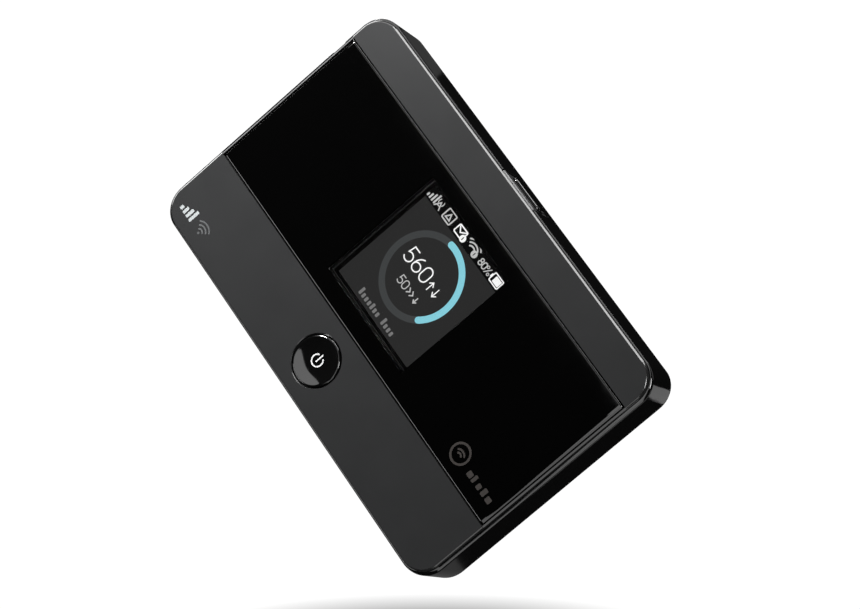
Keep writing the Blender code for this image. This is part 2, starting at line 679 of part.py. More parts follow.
# --- Battery and screws ---------------------------------------------------------------------

def build_battery():
    low_x, high_x = BAY_LOW_X + BATTERY_GAP, BAY_HIGH_X - BATTERY_GAP
    half_y = BAY_HALF_Y - BATTERY_GAP
    cap_end = low_x + BATTERY_CAP_LENGTH
    bm = box_bmesh((cap_end + 0.1, -half_y, BATTERY_LOW_Z), (high_x, half_y, BATTERY_TOP_Z))

    def far_corner(edge):
        return runs_along(2)(edge) and all(v.co.x > high_x - 1e-4 for v in edge.verts)

    round_edges(bm, far_corner, 1.2, 3)
    round_edges(bm, runs_along(0), 0.9, 2)
    place("battery_pack", mesh_from(bm, "battery_pack"), BATTERY_WRAP)

    cap = box("battery_end_cap", (low_x, -half_y, BATTERY_LOW_Z), (cap_end, half_y, BATTERY_TOP_Z),
              PLASTIC_BLACK, corner=0.9, axis=0)
    for number, y in enumerate((-2.6, 0.0, 2.6), start=1):
        cut(cap, cutter(f"terminal_recess_{number}", (low_x - 1, y - 0.8, 4.7),
                        (low_x + 0.3, y + 0.8, 7.0)))


def build_screws():
    profile = [(0.0, 12.3), (0.45, 12.3), (SCREW_SHANK_R, 11.7), (SCREW_SHANK_R, 3.4),
               (SCREW_HEAD_R, 3.4), (SCREW_HEAD_R, 2.75), (1.2, 2.4), (0.0, 2.4)]
    long, thin = 0.85, 0.2
    for number, (x, y) in enumerate(SCREW_PLACES, start=1):
        screw = turned(f"case_screw_{number}", profile, (x, y), SCREW_STEEL, SMALL_STEPS)
        across = cutter(f"screw_slot_x_{number}", (x - long, y - thin, 1.9),
                        (x + long, y + thin, 2.9))
        along = cutter(f"screw_slot_y_{number}", (x - thin, y - long, 1.9),
                       (x + thin, y + long, 2.9))
        cut(screw, across, along)


def build_hotspot():
    build_back_cover()
    build_front_cover()
    build_front_window()
    build_window_adhesive()
    build_mid_frame()
    build_power_button()
    build_menu_button()
    build_reset_button()
    build_screen()
    build_board()
    shield_can("modem_shield_can", (-44.0, -8.0), (-18.0, 18.0))
    shield_can("wifi_shield_can", (18.5, -4.0), (40.5, 18.0))
    shield_can("power_shield_can", (17.0, -26.0), (37.0, -12.0))
    card_socket("sim_socket", (-8.0, 3.6), (7.0, 17.0), 12.4)
    card_socket("memory_card_socket", (-8.0, -18.2), (6.5, -4.2), 11.2)
    build_usb_port()
    build_battery_contacts()
    build_antennas()
    build_battery()
    build_screws()
    for piece in PARTS.objects:
        shade(piece)


build_hotspot()
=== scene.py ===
"""Looks of the mobile hotspot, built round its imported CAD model.

Frame: metres, +Z up. The device lies on its back cover with the screen facing +Z, +X is the
reading direction of the screen and +Y points to the side with the menu button.
Sizes in this script are in millimetres, and MM turns them into metres.
"""

import math

import bmesh
import bpy
from mathutils import Matrix, Vector


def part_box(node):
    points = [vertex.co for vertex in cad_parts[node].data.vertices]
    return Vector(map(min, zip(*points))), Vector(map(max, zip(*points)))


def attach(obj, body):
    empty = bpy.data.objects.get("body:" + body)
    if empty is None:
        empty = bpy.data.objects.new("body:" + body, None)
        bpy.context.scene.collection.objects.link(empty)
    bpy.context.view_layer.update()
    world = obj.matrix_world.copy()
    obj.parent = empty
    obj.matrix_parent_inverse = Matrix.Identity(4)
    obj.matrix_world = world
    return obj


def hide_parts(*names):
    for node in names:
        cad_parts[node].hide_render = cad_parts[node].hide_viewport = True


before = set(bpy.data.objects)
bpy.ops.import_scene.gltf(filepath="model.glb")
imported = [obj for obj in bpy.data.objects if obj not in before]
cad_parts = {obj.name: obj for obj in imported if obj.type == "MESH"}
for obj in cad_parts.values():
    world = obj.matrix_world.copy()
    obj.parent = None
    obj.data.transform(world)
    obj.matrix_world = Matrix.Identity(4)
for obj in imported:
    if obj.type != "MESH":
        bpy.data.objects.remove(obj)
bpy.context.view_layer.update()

MM = 0.001


def box_mm(node):
    """The lowest and highest corner of a CAD node, in millimetres."""
    low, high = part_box(node)
    return low / MM, high / MM


# --- Driving dimensions ---------------------------------------------------------------

SHELL_LOW, SHELL_HIGH = box_mm("back_cover")
LID_LOW, LID_HIGH = box_mm("front_cover")
GLASS_LOW, GLASS_HIGH = box_mm("front_window")
CAP_LOW, CAP_HIGH = box_mm("power_button")
KEY_LOW, KEY_HIGH = box_mm("menu_button")
PANEL_HIGH = box_mm("display_panel")[1]
BEZEL_HIGH = box_mm("display_bezel")[1]
PACK_LOW, PACK_HIGH = box_mm("battery_pack")

FACE_Z = LID_HIGH.z
RIM_Z = SHELL_HIGH.z
PAST = 2.0                    # how far cutters reach past the surface they cut
ROOM_FOOT_Z = 12.0            # where cutters through the front cover end, below its plate

CORNER_STEPS = 14             # segments in a quarter turn of the outline
SHELL_CORNER = 6.1
SHELL_WALL = 1.3
SHELL_FILLET = 2.5            # rounding between the walls and the foot, outside
FLOOR_FILLET = 1.3            # the same, inside
END_DRAFT = 0.9               # how far the end walls lean in, from top to foot
SIDE_DRAFT = 0.2
DRAFT_TOP_Z = 14.0
DRAFT_FOOT_Z = 2.5
RIM_ROUND_UP = 0.7            # height of the rim's outer rounding
RIM_ROUND_IN = (0.28, 1.0, 0.1)     # its reach at the -X end, the +X end and the sides
MENU_NOTCH_HALF = 5.9         # notch in the rim over the menu key
MENU_NOTCH_FOOT_Z = 5.6
USB_HOLE_HALF = 4.6
USB_HOLE_Z = (6.0, 10.0)
NAIL_NOTCH_R = 5.0            # shallow round notch that a fingernail finds
NAIL_NOTCH_DEPTH = 0.7
NAIL_NOTCH_PLACE = (SHELL_LOW.x - 4.4, 20.0)

LID_CORNER = 5.8
LID_EDGE = 0.45               # chamfer round the front face
FLANGE_UNDER_Z = 14.95
SKIRT_HALF = Vector((51.3, 31.3))
SKIRT_WALL = 1.0
SKIRT_CORNER = 5.0
CHANNEL_FLOOR_Z = 14.2        # floor of the channel that the window lies in
CHANNEL_PLATE = 0.7           # thickness of the front cover under the channel
CHANNEL_GAP = 0.24
CHANNEL_END_X = 51.8
LIP_SLOPE = ((51.8, 15.5), (52.15, 15.28))   # top of the lip beyond the window's ends

ROLL_START_X = 50.64          # where the window starts to roll over at its ends
ROLL_RADIUS = 1.05
WINDOW_EDGE = 0.44            # width of the soft bevel along both sides of the window
WINDOW_END_GAP = 0.22

POWER_Y = (CAP_LOW.y + CAP_HIGH.y) / 2
POWER_HOLE_R = 5.9
HOLE_EDGE = 0.13              # chamfer round the button's hole
CAP_R = 5.6
CAP_RIM_R = 5.25
CAP_DISH_DEPTH = 0.49
CAP_DISH_POWER = 3            # how steeply the dish rises towards its rim
CAP_FLANGE_Z = (13.4, 13.95)  # the flange that keeps the cap in its hole
CAP_STEM_R = 1.6
CAP_FLANGE_ROOM_R = 6.8
CAP_FLANGE_ROOM = 1.45        # height of the flange's room above the cap's foot

KEY_HALF = (4.7, 1.8)         # the menu key's face, along X and Z
KEY_CORNER = 1.2
KEY_CROWN = 0.55              # rounding of the face's edge
KEY_CENTRE_Z = 8.9
KEY_FLANGE_Y = (KEY_LOW.y + 0.3, KEY_LOW.y + 0.95)
KEY_STEM_HALF = 1.6
KEY_STEM_Z = (7.7, 9.0)

SCREEN_Y = 5.0
SCREEN_OPENING = Vector((29.4, 30.0))
LIT_HALF = 13.6
STATUS_BAR_Y = SCREEN_Y + 10.8      # where the dark status bar starts
SCREEN_Z = PANEL_HIGH.z + 0.02
GLASS_LOSS = 1.09             # makes up for what the window takes from the screen's light


# --- Materials ------------------------------------------------------------------------

def linear(value):
    """Linear light for a display grey from 0 to 255."""
    share = value / 255
    return share / 12.92 if share <= 0.04045 else ((share + 0.055) / 1.055) ** 2.4


def noise(tree, coordinates, size_mm, detail=3.0):
    """A noise texture whose features are about size_mm across."""
    texture = tree.nodes.new("ShaderNodeTexNoise")
    texture.inputs["Scale"].default_value = 1.0 / (size_mm * MM)
    texture.inputs["Detail"].default_value = detail
    tree.links.new(coordinates, texture.inputs["Vector"])
    return texture.outputs["Fac"]


def surface(name, color, roughness, metallic=0.0, ior=1.5, specular=0.5, blotch_mm=6.0,
            tint=0.08, rough_spread=0.04, grain_mm=0.2, grain_depth_mm=0.002,
            stretch=(1, 1, 1)):
    """A Principled material with colour and gloss variation and a fine surface grain."""
    material = bpy.data.materials.new(name)
    material.use_nodes = True
    tree = material.node_tree
    shader = tree.nodes["Principled BSDF"]
    shader.inputs["Metallic"].default_value = metallic
    shader.inputs["IOR"].default_value = ior
    shader.inputs["Specular IOR Level"].default_value = specular

    place = tree.nodes.new("ShaderNodeTexCoord")
    mapping = tree.nodes.new("ShaderNodeMapping")
    mapping.inputs["Scale"].default_value = stretch
    tree.links.new(place.outputs["Object"], mapping.inputs["Vector"])
    coordinates = mapping.outputs["Vector"]

    blotches = noise(tree, coordinates, blotch_mm)
    ramp = tree.nodes.new("ShaderNodeValToRGB")
    for stop, share in zip(ramp.color_ramp.elements, (1 - tint, 1 + tint)):
        stop.color = (*[min(1.0, channel * share) for channel in color], 1)
    ramp.color_ramp.elements[0].position = 0.3
    ramp.color_ramp.elements[1].position = 0.7
    tree.links.new(blotches, ramp.inputs["Fac"])
    tree.links.new(ramp.outputs["Color"], shader.inputs["Base Color"])

    gloss = tree.nodes.new("ShaderNodeMapRange")
    gloss.inputs["From Min"].default_value = 0.3
    gloss.inputs["From Max"].default_value = 0.7
    gloss.inputs["To Min"].default_value = max(0.0, roughness - rough_spread)
    gloss.inputs["To Max"].default_value = min(1.0, roughness + rough_spread)
    tree.links.new(noise(tree, coordinates, blotch_mm / 3), gloss.inputs["Value"])
    tree.links.new(gloss.outputs["Result"], shader.inputs["Roughness"])

    bump = tree.nodes.new("ShaderNodeBump")
    bump.inputs["Strength"].default_value = 1.0
    bump.inputs["Distance"].default_value = grain_depth_mm * MM
    tree.links.new(noise(tree, coordinates, grain_mm, 2.0), bump.inputs["Height"])
    tree.links.new(bump.outputs["Normal"], shader.inputs["Normal"])
    return material


def glass(name):
    """Clear, almost perfectly smooth window plastic."""
    material = surface(name, (0.99, 0.99, 0.99), 0.01, ior=1.49, tint=0.003,
                       rough_spread=0.008, grain_mm=4.0, grain_depth_mm=0.0002)
    material.node_tree.nodes["Principled BSDF"].inputs["Transmission Weight"].default_value = 1.0
    return material


def ink(name, color, roughness=0.5, tint=0.03):
    """Printed ink, which hardly mirrors the lights."""
    return surface(name, color, roughness, specular=0.1, tint=tint, blotch_mm=2.0)


def light_up(name, grey, tint=(1.0, 1.0, 1.0)):
    """A lit part of the screen, with the faint dot raster of the panel in its glow."""
    material = bpy.data.materials.new(name)
    material.use_nodes = True
    tree = material.node_tree
    shader = tree.nodes["Principled BSDF"]
    shader.inputs["Base Color"].default_value = (0, 0, 0, 1)
    shader.inputs["Specular IOR Level"].default_value = 0.0
    shader.inputs["Roughness"].default_value = 0.6
    shader.inputs["Emission Strength"].default_value = GLASS_LOSS
    place = tree.nodes.new("ShaderNodeTexCoord")
    raster = noise(tree, place.outputs["Object"], 0.4, 0.0)
    ramp = tree.nodes.new("ShaderNodeValToRGB")
    for stop, share in zip(ramp.color_ramp.elements, (0.97, 1.03)):
        stop.color = (*[linear(grey * channel) * share for channel in tint], 1)
    tree.links.new(raster, ramp.inputs["Fac"])
    tree.links.new(ramp.outputs["Color"], shader.inputs["Emission Color"])
    return material


SATIN = surface("satin_shell", (0.0059, 0.006, 0.0061), 0.42, blotch_mm=9.0, tint=0.05,
                rough_spread=0.02, grain_mm=0.16, grain_depth_mm=0.008, specular=0.018)
SATIN_EDGE = surface("satin_edge", (0.004, 0.004, 0.004), 0.2, blotch_mm=9.0,
                     rough_spread=0.02, grain_mm=0.3, grain_depth_mm=0.001)
GLOSS = surface("gloss_shell", (0.001, 0.001, 0.001), 0.07, blotch_mm=14.0,
                rough_spread=0.02, grain_mm=3.5, grain_depth_mm=0.0006)
WINDOW_BLACK = surface("window_gloss", (0.0002, 0.0002, 0.0002), 0.025, ior=1.49,
                       blotch_mm=20.0, rough_spread=0.006, grain_mm=5.0,
                       grain_depth_mm=0.0003)
WINDOW_CLEAR = glass("window_clear")
KEY_GLOSS = surface("gloss_key", (0.0006, 0.0006, 0.0006), 0.06, blotch_mm=5.0,
                    rough_spread=0.02, grain_mm=2.0, grain_depth_mm=0.0004)
FRAME = surface("frame_plastic", (0.012, 0.012, 0.0125), 0.42, grain_mm=0.25,
                grain_depth_mm=0.006)
WHITE_PLASTIC = surface("white_plastic", (0.7, 0.69, 0.66), 0.45, tint=0.03)
BLACK_PLASTIC = surface("black_plastic", (0.011, 0.011, 0.0115), 0.4)
STEEL = surface("steel_sheet", (0.56, 0.56, 0.57), 0.28, metallic=1.0, tint=0.06,
                blotch_mm=3.0, rough_spread=0.08, grain_mm=0.3, grain_depth_mm=0.003,
                stretch=(0.08, 1, 1))
SCREW_STEEL = surface("screw_steel", (0.2, 0.2, 0.21), 0.32, metallic=1.0, blotch_mm=1.0)
GOLD = surface("gold", (0.86, 0.62, 0.24), 0.22, metallic=1.0, blotch_mm=1.0)
COPPER = surface("copper", (0.75, 0.38, 0.2), 0.3, metallic=1.0, blotch_mm=2.0)
LAMINATE = surface("board_laminate", (0.008, 0.06, 0.026), 0.35, tint=0.35, blotch_mm=1.6,
                   grain_mm=0.5, grain_depth_mm=0.02)
FOAM = surface("foam", (0.012, 0.012, 0.012), 0.95, grain_mm=0.3, grain_depth_mm=0.05)
ADHESIVE = surface("adhesive", (0.01, 0.01, 0.01), 0.8, grain_mm=0.6)
POLYIMIDE = surface("polyimide", (0.42, 0.17, 0.02), 0.35, tint=0.15, blotch_mm=1.2)
WRAP = surface("battery_wrap", (0.02, 0.02, 0.022), 0.38, tint=0.12, blotch_mm=4.0,
               stretch=(0.05, 1, 1), grain_mm=0.8, grain_depth_mm=0.01)
LABEL = surface("battery_label", (0.42, 0.43, 0.44), 0.5, tint=0.04, blotch_mm=8.0)
LABEL_INK = surface("label_ink", (0.02, 0.02, 0.022), 0.5)
PRINT_WHITE = ink("print_white", (0.084, 0.089, 0.09))
PRINT_SOFT = ink("print_soft_white", (0.17, 0.17, 0.17))
PRINT_GREY = ink("print_grey", (0.019, 0.0198, 0.0202), tint=0.04)
PRINT_DIM = ink("print_dim", (0.0085, 0.0073, 0.0067), roughness=0.4, tint=0.05)
SCREEN_OFF = surface("screen_off", (0.004, 0.004, 0.004), 0.3, specular=0.02)

LIT_GREY = light_up("screen_grey", 43)
LIT_BAR = light_up("screen_status_bar", 11)
# The edge line's glow is a painted highlight of the screen opening's edge, not light from the
# screen.
EDGE_HIGHLIGHT_GLOW = light_up("painted_edge_highlight", 27)
LIT_RING = light_up("screen_ring", 66, (0.97, 1.0, 1.01))
LIT_CYAN = light_up("screen_cyan", 214, (0.62, 0.955, 1.02))
LIT_WHITE = light_up("screen_white", 246)
LIT_SOFT = light_up("screen_soft_white", 190)
LIT_CAPTION = light_up("screen_caption", 118)


# --- Mesh helpers ---------------------------------------------------------------------

def piece_from(bm, name, *materials):
    """Turns a bmesh drawn in millimetres into an object in metres."""
    bmesh.ops.recalc_face_normals(bm, faces=bm.faces)
    bm.transform(Matrix.Scale(MM, 4))
    mesh = bpy.data.meshes.new(name)
    bm.to_mesh(mesh)
    bm.free()
    for material in materials:
        mesh.materials.append(material)
    piece = bpy.data.objects.new(name, mesh)
    bpy.context.scene.collection.objects.link(piece)
    return piece


def smooth(piece, angle=32, weighted=True):
    """Smooth shading between real edges, with flat areas kept flat."""
    piece.data.shade_smooth()
    piece.data.set_sharp_from_angle(angle=math.radians(angle))
    if weighted:
        shading = piece.modifiers.new("shading", "WEIGHTED_NORMAL")
        shading.keep_sharp = True
        shading.weight = 80


def install(piece, body, slot, *nodes):
    """Puts a finished piece on its body, in the place of CAD nodes. The slot argument is not
    used.
    """
    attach(piece, body)
    if nodes:
        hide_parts(*nodes)


def rounded_ring(half_x, half_y, corner_x, corner_y, z, middle_x=0.0):
    """Points round a rectangle whose corners are rounded by two radii."""
    points = []
    for quarter, (side_x, side_y) in enumerate(((1, 1), (-1, 1), (-1, -1), (1, -1))):
        for step in range(CORNER_STEPS + 1):
            angle = math.pi / 2 * (quarter + step / CORNER_STEPS)
            x = middle_x + side_x * (half_x - corner_x) + corner_x * math.cos(angle)
            y = side_y * (half_y - corner_y) + corner_y * math.sin(angle)
            points.append((x, y, z))
    return points


def walls(bm, loops):
    """Joins each loop of vertices to the next one with a closed strip of faces."""
    count = len(loops[0])
    for first, second in zip(loops, loops[1:]):
        for index in range(count):
            after = (index + 1) % count
            bm.faces.new((first[index], first[after], second[after], second[index]))


def swept(rings):
    """A closed body through rings of points, capped at its first and last ring."""
    bm = bmesh.new()
    loops = [[bm.verts.new(point) for point in ring] for ring in rings]
    walls(bm, loops)
    bm.faces.new(loops[0])
    bm.faces.new(loops[-1])
    return bm


def arc(centre, radius, start, end, steps):
    """Points on an arc, from one angle to another in degrees. The radius is one number, or a
    pair for an oval."""
    radius_x, radius_y = radius if isinstance(radius, tuple) else (radius, radius)
    angles = [math.radians(start + (end - start) * step / steps) for step in range(steps + 1)]
    return [(centre[0] + radius_x * math.cos(a), centre[1] + radius_y * math.sin(a))
            for a in angles]


def lathe(profile, xy, steps=96):
    """A turned body: profile points (radius, z) start and end on the axis."""
    bm = bmesh.new()
    verts = [bm.verts.new((radius, 0, z)) for radius, z in profile]
    edges = [bm.edges.new(pair) for pair in zip(verts, verts[1:])]
    bmesh.ops.spin(bm, geom=verts + edges, cent=(0, 0, 0), axis=(0, 0, 1),
                   angle=math.tau, steps=steps)
    bmesh.ops.remove_doubles(bm, verts=bm.verts, dist=1e-4)
    bmesh.ops.translate(bm, vec=(*xy, 0), verts=bm.verts)
    return bm


def box_tool(low, high, corner=0.0, axis=2):
    """A cutter box, with its edges along one axis rounded."""
    bm = bmesh.new()
    bmesh.ops.create_cube(bm, size=1.0)
    bmesh.ops.scale(bm, vec=Vector(high) - Vector(low), verts=bm.verts)
    bmesh.ops.translate(bm, vec=(Vector(high) + Vector(low)) / 2, verts=bm.verts)
    if corner:
        edges = [e for e in bm.edges
                 if abs((e.verts[1].co - e.verts[0].co).normalized()[axis]) > 0.999]
        bmesh.ops.bevel(bm, geom=edges, offset=corner, segments=6, profile=0.5,
                        affect="EDGES")
    return piece_from(bm, "tool")


def rod_tool(radius, low_z, high_z, xy):
    """An upright round cutter."""
    bm = lathe([(0, high_z), (radius, high_z), (radius, low_z), (0, low_z)], xy)
    return piece_from(bm, "tool")


def combine(piece, others, operation, material_mode):
    """Applies the other bodies to the piece, one after the other, and removes them."""
    for other in others:
        step = piece.modifiers.new("combine", "BOOLEAN")
        step.operation = operation
        step.solver = "EXACT"
        step.material_mode = material_mode
        step.object = other
    graph = bpy.context.evaluated_depsgraph_get()
    piece.data = bpy.data.meshes.new_from_object(piece.evaluated_get(graph))
    piece.modifiers.clear()
    for other in others:
        bpy.data.objects.remove(other, do_unlink=True)


def carve(piece, *tools):
    """Cuts the tools out of the piece. A tool's own material stays on the faces it cuts."""
    combine(piece, tools, "DIFFERENCE", "TRANSFER")


def unite(piece, *others):
    """Joins the other bodies to the piece, in the piece's material."""
    combine(piece, others, "UNION", "INDEX")


# --- Flat marks: strokes and filled shapes --------------------------------------------

def prism(bm, outline, low_z, high_z):
    """Adds a flat solid with the given outline."""
    low = [bm.verts.new((x, y, low_z)) for x, y in outline]
    high = [bm.verts.new((x, y, high_z)) for x, y in outline]
    bm.faces.new(low)
    bm.faces.new(high)
    walls(bm, [low, high])


def band(bm, outer, inner, low_z, high_z):
    """Adds a flat closed loop between two outlines with the same number of points."""
    levels = ((outer, low_z), (outer, high_z), (inner, high_z), (inner, low_z))
    loops = [[bm.verts.new((x, y, z)) for x, y in outline] for outline, z in levels]
    walls(bm, loops + loops[:1])


def sideways(points, closed):
    """The mitred sideways direction at each point of a path."""
    path = [Vector(p) for p in points]
    count = len(path)
    result = []
    for index in range(count):
        before = path[index - 1] if closed or index else None
        after = path[(index + 1) % count] if closed or index < count - 1 else None
        runs = []
        if before is not None:
            runs.append((path[index] - before).normalized())
        if after is not None:
            runs.append((after - path[index]).normalized())
        normals = [Vector((-run.y, run.x)) for run in runs]
        middle = sum(normals, Vector((0, 0))).normalized()
        result.append(middle / max(0.5, middle.dot(normals[0])))
    return result


def stroke(bm, points, width, low_z, high_z, closed=False):
    """Adds a line of even width with round ends."""
    sides = sideways(points, closed)
    half = width / 2
    left = [tuple(Vector(p) + s * half) for p, s in zip(points, sides)]
    right = [tuple(Vector(p) - s * half) for p, s in zip(points, sides)]
    if closed:
        band(bm, left, right, low_z, high_z)
        return
    heading = math.degrees(math.atan2(sides[-1].y, sides[-1].x))
    end = arc(points[-1], half, heading, heading - 180, 8)[1:-1]
    heading = math.degrees(math.atan2(-sides[0].y, -sides[0].x))
    start = arc(points[0], half, heading, heading - 180, 8)[1:-1]
    prism(bm, left + end + right[::-1] + start, low_z, high_z)


def disc(centre, radius, steps=28):
    """The outline of a circle, or of an oval when the radius is a pair."""
    return arc(centre, radius, 0, 360, steps)[:-1]


def bar(low, high, corner):
    """The outline of a rectangle with rounded corners."""
    centres = [(high[0] - corner, high[1] - corner), (low[0] + corner, high[1] - corner),
               (low[0] + corner, low[1] + corner), (high[0] - corner, low[1] + corner)]
    return [p for turn, centre in enumerate(centres)
            for p in arc(centre, corner, 90 * turn, 90 * turn + 90, 4)]


# --- Casing ---------------------------------------------------------------------------

def leaning_ring(insets, z):
    """A ring of the back cover, whose walls lean in towards the foot. The insets are those
    at the -X end, at the +X end and at the sides."""
    height = DRAFT_TOP_Z - DRAFT_FOOT_Z
    lean = min(max(DRAFT_TOP_Z - z, 0.0), height) / height
    low_in, high_in, side_in = insets
    in_x = END_DRAFT * lean + (low_in + high_in) / 2
    in_y = SIDE_DRAFT * lean + side_in
    return rounded_ring(SHELL_HIGH.x - in_x, SHELL_HIGH.y - in_y, SHELL_CORNER - in_x,
                        SHELL_CORNER - in_y, z, (low_in - high_in) / 2)


def back_shell():
    """The glossy tray: foot fillet, leaning walls, round rim and hollow inside."""
    fillet = [(SHELL_FILLET - dx, SHELL_FILLET - dz)
              for dx, dz in arc((0, 0), SHELL_FILLET, 90, 0, 8)]
    wall = [(0.0, z) for z in (5.0, 8.0, 11.0)]
    inner_edge = 0.1
    inner_z = SHELL_WALL + FLOOR_FILLET
    inside = [(SHELL_WALL - inner_edge, RIM_Z), (SHELL_WALL, RIM_Z - inner_edge),
              (SHELL_WALL, 8.0), (SHELL_WALL, inner_z)]
    floor = [(SHELL_WALL + FLOOR_FILLET - dx, inner_z - dz)
             for dx, dz in arc((0, 0), FLOOR_FILLET, 0, 90, 4)]
    rings = [leaning_ring((inset,) * 3, z) for inset, z in fillet + wall]
    rings += [leaning_ring([reach * (1 - out) for reach in RIM_ROUND_IN],
                           RIM_Z - RIM_ROUND_UP * (1 - up))
              for out, up in arc((0, 0), 1.0, 0, 90, 12)]
    rings += [leaning_ring((inset,) * 3, z) for inset, z in inside + floor[1:]]
    shell = piece_from(swept(rings), "back_shell", GLOSS)

    through = 2 * PAST
    menu_notch = box_tool((-MENU_NOTCH_HALF, SHELL_HIGH.y - through, MENU_NOTCH_FOOT_Z),
                          (MENU_NOTCH_HALF, SHELL_HIGH.y + PAST, RIM_Z + through), 1.2, axis=1)
    usb_hole = box_tool((SHELL_LOW.x - PAST, -USB_HOLE_HALF, USB_HOLE_Z[0]),
                        (SHELL_LOW.x + through, USB_HOLE_HALF, USB_HOLE_Z[1]), 1.1, axis=0)
    nail_notch = rod_tool(NAIL_NOTCH_R, RIM_Z - NAIL_NOTCH_DEPTH, RIM_Z + PAST, NAIL_NOTCH_PLACE)
    carve(shell, menu_notch, usb_hole, nail_notch)
    smooth(shell)
    install(shell, "back_cover", "gloss_shell", "back_cover")


def front_lid():
    """The satin front: two bands beside the window channel, over a stepped skirt."""
    def ring(half_x, half_y, inset, z, corner=LID_CORNER):
        corner -= inset
        return rounded_ring(half_x - inset, half_y - inset, corner, corner, z)

    soft, under_edge = 0.06, 0.08
    edge = [(LID_EDGE + soft, FACE_Z), (LID_EDGE - soft, FACE_Z - soft / 2),
            (soft / 2, FACE_Z - LID_EDGE + soft), (0.0, FACE_Z - LID_EDGE - soft),
            (0.0, FLANGE_UNDER_Z + under_edge), (under_edge, FLANGE_UNDER_Z)]
    rings = [ring(LID_HIGH.x, LID_HIGH.y, inset, z) for inset, z in edge]
    skirt = [(0.0, FLANGE_UNDER_Z), (0.0, LID_LOW.z), (SKIRT_WALL, LID_LOW.z),
             (SKIRT_WALL, CHANNEL_FLOOR_Z - CHANNEL_PLATE)]
    rings += [ring(SKIRT_HALF.x, SKIRT_HALF.y, inset, z, SKIRT_CORNER) for inset, z in skirt]
    lid = piece_from(swept(rings), "front_lid", SATIN)

    low_y, high_y = GLASS_LOW.y - CHANNEL_GAP, GLASS_HIGH.y + CHANNEL_GAP
    over = FACE_Z + PAST
    channel = box_tool((-CHANNEL_END_X, low_y, CHANNEL_FLOOR_Z), (CHANNEL_END_X, high_y, over))
    relief = piece_from(lip_relief(low_y, high_y, over + 1), "tool", GLOSS)
    wide, tall = SCREEN_OPENING
    opening = box_tool((-wide / 2, SCREEN_Y - tall / 2, ROOM_FOOT_Z),
                       (wide / 2, SCREEN_Y + tall / 2, over), 0.6)
    # The cutter widens upwards at 45 degrees from just below the face: that is the chamfer.
    hole = lathe([(0, over), (POWER_HOLE_R + over - FACE_Z + HOLE_EDGE, over),
                  (POWER_HOLE_R, FACE_Z - HOLE_EDGE), (POWER_HOLE_R, ROOM_FOOT_Z),
                  (0, ROOM_FOOT_Z)], (0, POWER_Y))
    hole = piece_from(hole, "tool")
    flange_room = rod_tool(CAP_FLANGE_ROOM_R, ROOM_FOOT_Z, CAP_LOW.z + CAP_FLANGE_ROOM,
                           (0, POWER_Y))
    carve(lid, channel, relief, opening, hole, flange_room)

    lid.data.materials.append(SATIN_EDGE)
    edge_slot = len(lid.data.materials) - 1
    edge_low_z = (FACE_Z - LID_EDGE - 0.1) * MM
    for face in lid.data.polygons:
        tilted = 0.3 < face.normal.z < 0.95
        if tilted and face.center.z > edge_low_z and face.material_index == 0:
            face.material_index = edge_slot
    smooth(lid)
    install(lid, "casing", "satin_shell", "front_cover")


def lip_relief(low_y, high_y, top_z):
    """A cutter that leaves a lip with a sloping, glossy top beyond the window's ends."""
    (start_x, start_z), (end_x, end_z) = LIP_SLOPE
    far_x = LID_HIGH.x + PAST
    slope = [(far_x, end_z), (end_x, end_z), (start_x, start_z)]
    profile = slope + [(-x, z) for x, z in reversed(slope)] + [(-far_x, top_z), (far_x, top_z)]
    bm = bmesh.new()
    near = [bm.verts.new((x, low_y, z)) for x, z in profile]
    far = [bm.verts.new((x, high_y, z)) for x, z in profile]
    bm.faces.new(near)
    bm.faces.new(far)
    walls(bm, [near, far])
    return bm


def window():
    """The glossy strip: rolled over at both ends, softly bevelled along both sides, black
    but for the clear field in front of the screen."""
    bevel_share = 0.97        # the bevel stops just short of upright

    def roll(x):
        past = max(abs(x) - ROLL_START_X, 0.0)
        return ROLL_RADIUS - math.sqrt(ROLL_RADIUS ** 2 - past ** 2)

    def bevel(y):
        past = max(GLASS_LOW.y + WINDOW_EDGE - y, y - GLASS_HIGH.y + WINDOW_EDGE, 0.0)
        return WINDOW_EDGE * (1 - math.sqrt(1 - (bevel_share * past / WINDOW_EDGE) ** 2))

    end_x = CHANNEL_END_X - WINDOW_END_GAP
    rolled = [ROLL_START_X + (end_x - ROLL_START_X) * step / 10 for step in range(11)]
    clear_x, clear_y = SCREEN_OPENING / 2
    columns = [-x for x in reversed(rolled)] + [-clear_x, clear_x] + rolled
    edge = [WINDOW_EDGE * (1 - math.cos(math.pi / 2 * step / 8)) for step in range(9)]
    rows = [GLASS_LOW.y + y for y in edge] + [SCREEN_Y - clear_y, SCREEN_Y + clear_y]
    rows += [GLASS_HIGH.y - y for y in reversed(edge)]

    bm = bmesh.new()
    top = [[bm.verts.new((x, y, GLASS_HIGH.z - roll(x) - bevel(y))) for y in rows]
           for x in columns]
    foot = [[bm.verts.new((x, y, GLASS_LOW.z)) for y in rows] for x in columns]
    last_column, last_row = len(columns) - 1, len(rows) - 1
    clear_column, clear_row = columns.index(-clear_x), rows.index(SCREEN_Y - clear_y)
    for i in range(last_column):
        for j in range(last_row):
            for grid in (top, foot):
                face = bm.faces.new((grid[i][j], grid[i + 1][j], grid[i + 1][j + 1],
                                     grid[i][j + 1]))
                face.material_index = int((i, j) == (clear_column, clear_row))
    for i in range(last_column):
        for j in (0, last_row):
            bm.faces.new((top[i][j], top[i + 1][j], foot[i + 1][j], foot[i][j]))
    for j in range(last_row):
        for i in (0, last_column):
            bm.faces.new((top[i][j], top[i][j + 1], foot[i][j + 1], foot[i][j]))
    strip = piece_from(bm, "window_strip", WINDOW_BLACK, WINDOW_CLEAR)
    smooth(strip, 50)
    install(strip, "casing", "window_gloss", "front_window")


# --- Buttons --------------------------------------------------------------------------

